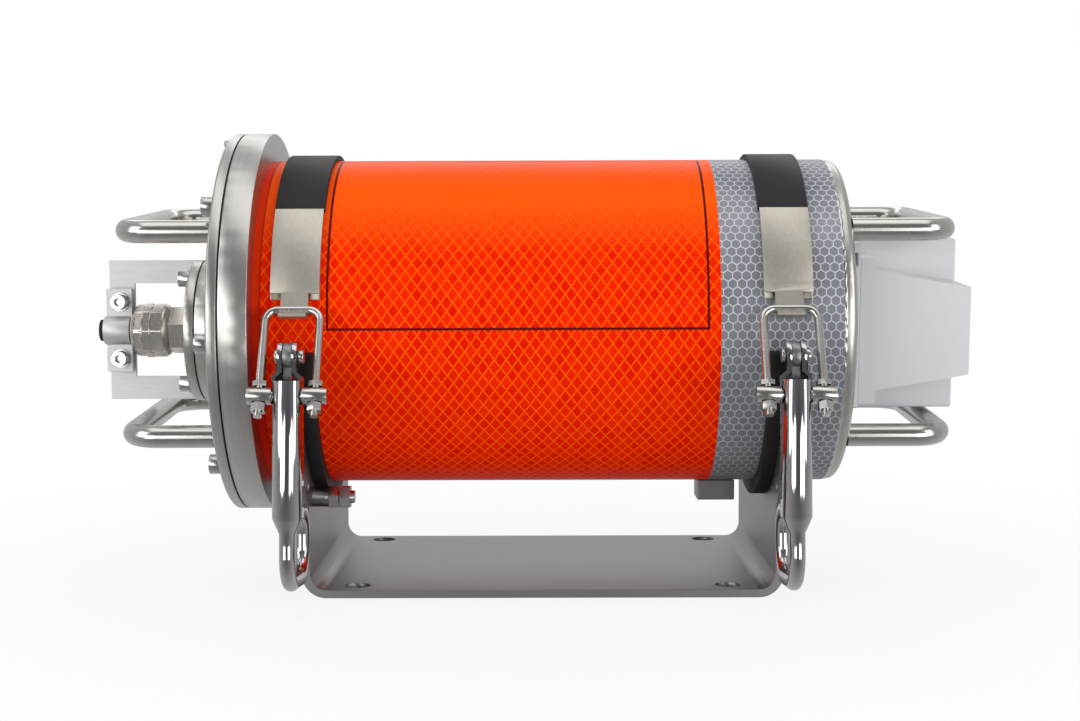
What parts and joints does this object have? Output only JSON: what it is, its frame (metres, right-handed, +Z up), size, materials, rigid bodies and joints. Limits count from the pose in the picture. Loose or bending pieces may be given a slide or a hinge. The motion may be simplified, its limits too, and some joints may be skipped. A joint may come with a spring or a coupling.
{
  "type": "fixed voyage data recorder capsule with beacon housing and quick-release bracket",
  "caption": "Reflective-taped steel protective capsule with carrying handles, cable gland and beacon housing, strapped by over-centre latches in a U-shaped deck bracket.",
  "frame": {"origin": "centre of the bracket's bolt pattern, on the underside of the base", "axes": "+X along the capsule towards the beacon housing, -Y towards the side with the latches, +Z up"},
  "size_m": [0.5498, 0.2785, 0.288],
  "materials": {
    "brushed_stainless": "satin brushed",
    "polished_stainless": "fine satin to polished",
    "mirror_stainless": "mirror polished",
    "bright_fasteners": "bright machined",
    "satin_catch_steel": "satin, rolled sheet",
    "blasted_steel": "bead blasted, matt",
    "vessel_steel": "machined",
    "nickel_brass": "nickel plated",
    "orange_reflective_tape": "prismatic reflective sheeting",
    "silver_reflective_tape": "honeycomb reflective sheeting",
    "black_rubber": "matt",
    "strap_rubber": "matt, fine grain",
    "white_plastic": "matt moulded",
    "black_plastic": "matt",
    "beacon_aluminium": "anodised",
    "insulation_board": "pressed fibre board",
    "heat_absorbing_wax": "cast block",
    "circuit_board": "solder masked"
  },
  "bodies": {
    "root": {"shell_tube": "brushed_stainless", "end_cap": "brushed_stainless", "body_flange": "brushed_stainless", "flange_gasket": "black_rubber", "cover_plate": "brushed_stainless", "cover_screws": "bright_fasteners", "orange_tape": "orange_reflective_tape", "silver_tape": "silver_reflective_tape", "cover_handle_upper": "polished_stainless", "cover_handle_lower": "polished_stainless", "end_handle_upper": "polished_stainless", "end_handle_lower": "polished_stainless", "locating_lug": "blasted_steel", "front_insulation": "insulation_board", "insulation_liner": "insulation_board", "rear_insulation": "insulation_board", "heat_block": "heat_absorbing_wax", "memory_vessel": "vessel_steel", "vessel_lid": "vessel_steel", "memory_boards": "circuit_board", "gland_boss": "brushed_stainless", "gland_gasket": "black_rubber", "gland_flange": "brushed_stainless", "gland_screws": "bright_fasteners", "gland_adapter": "nickel_brass", "gland_oring": "black_rubber", "gland_body": "nickel_brass", "gland_nut": "nickel_brass", "gland_seal": "black_rubber", "cable_bracket": "brushed_stainless", "clamp_saddle": "brushed_stainless", "clamp_screws": "bright_fasteners", "clamp_nuts": "bright_fasteners", "cable_bush": "black_rubber", "housing_base": "white_plastic", "housing_box": "white_plastic", "housing_cheek": "white_plastic", "beacon": "beacon_aluminium", "beacon_switch": "black_plastic", "bracket_frame": "blasted_steel", "saddle_pads": "black_rubber", "earth_bolt": "bright_fasteners", "lever_pins": "bright_fasteners", "hinge_pins": "bright_fasteners"},
    "left_lever": {"left_lever": "mirror_stainless"},
    "left_bail": {"left_bail": "polished_stainless", "left_barrels": "polished_stainless", "left_bail_nuts": "bright_fasteners"},
    "left_strap": {"left_strap_sleeve": "strap_rubber", "left_strap_band": "satin_catch_steel", "left_catch_plate": "satin_catch_steel", "left_strap_fork": "satin_catch_steel"},
    "right_lever": {"right_lever": "mirror_stainless"},
    "right_bail": {"right_bail": "polished_stainless", "right_barrels": "polished_stainless", "right_bail_nuts": "bright_fasteners"},
    "right_strap": {"right_strap_sleeve": "strap_rubber", "right_strap_band": "satin_catch_steel", "right_catch_plate": "satin_catch_steel", "right_strap_fork": "satin_catch_steel"}
  },
  "joints": [
    {"name": "left_lever_hinge", "type": "hinge", "parent": "root", "child": "left_lever", "pos_m": [-0.145, -0.157, 0.1517], "axis": [-1, 0, 0], "range_deg": [0, 110]},
    {"name": "left_bail_pivot", "type": "hinge", "parent": "left_lever", "child": "left_bail", "pos_m": [-0.145, -0.16394, 0.12972], "axis": [1, 0, 0], "range_deg": [0, 176.5]},
    {"name": "left_strap_hinge", "type": "hinge", "parent": "root", "child": "left_strap", "pos_m": [-0.145, 0.092, 0.171], "axis": [-1, 0, 0], "range_deg": [0, 3.5]},
    {"name": "right_lever_hinge", "type": "hinge", "parent": "root", "child": "right_lever", "pos_m": [0.145, -0.157, 0.1517], "axis": [-1, 0, 0], "range_deg": [0, 110]},
    {"name": "right_bail_pivot", "type": "hinge", "parent": "right_lever", "child": "right_bail", "pos_m": [0.145, -0.16394, 0.12972], "axis": [1, 0, 0], "range_deg": [0, 176.5]},
    {"name": "right_strap_hinge", "type": "hinge", "parent": "root", "child": "right_strap", "pos_m": [0.145, 0.092, 0.171], "axis": [-1, 0, 0], "range_deg": [0, 3.5]}
  ],
  "couplings": [
    {"joint": "left_bail_pivot", "follows": "left_lever_hinge", "ratio": 1.6},
    {"joint": "left_strap_hinge", "follows": "left_lever_hinge", "ratio": 0.03},
    {"joint": "right_bail_pivot", "follows": "right_lever_hinge", "ratio": 1.6},
    {"joint": "right_strap_hinge", "follows": "right_lever_hinge", "ratio": 0.03}
  ]
}
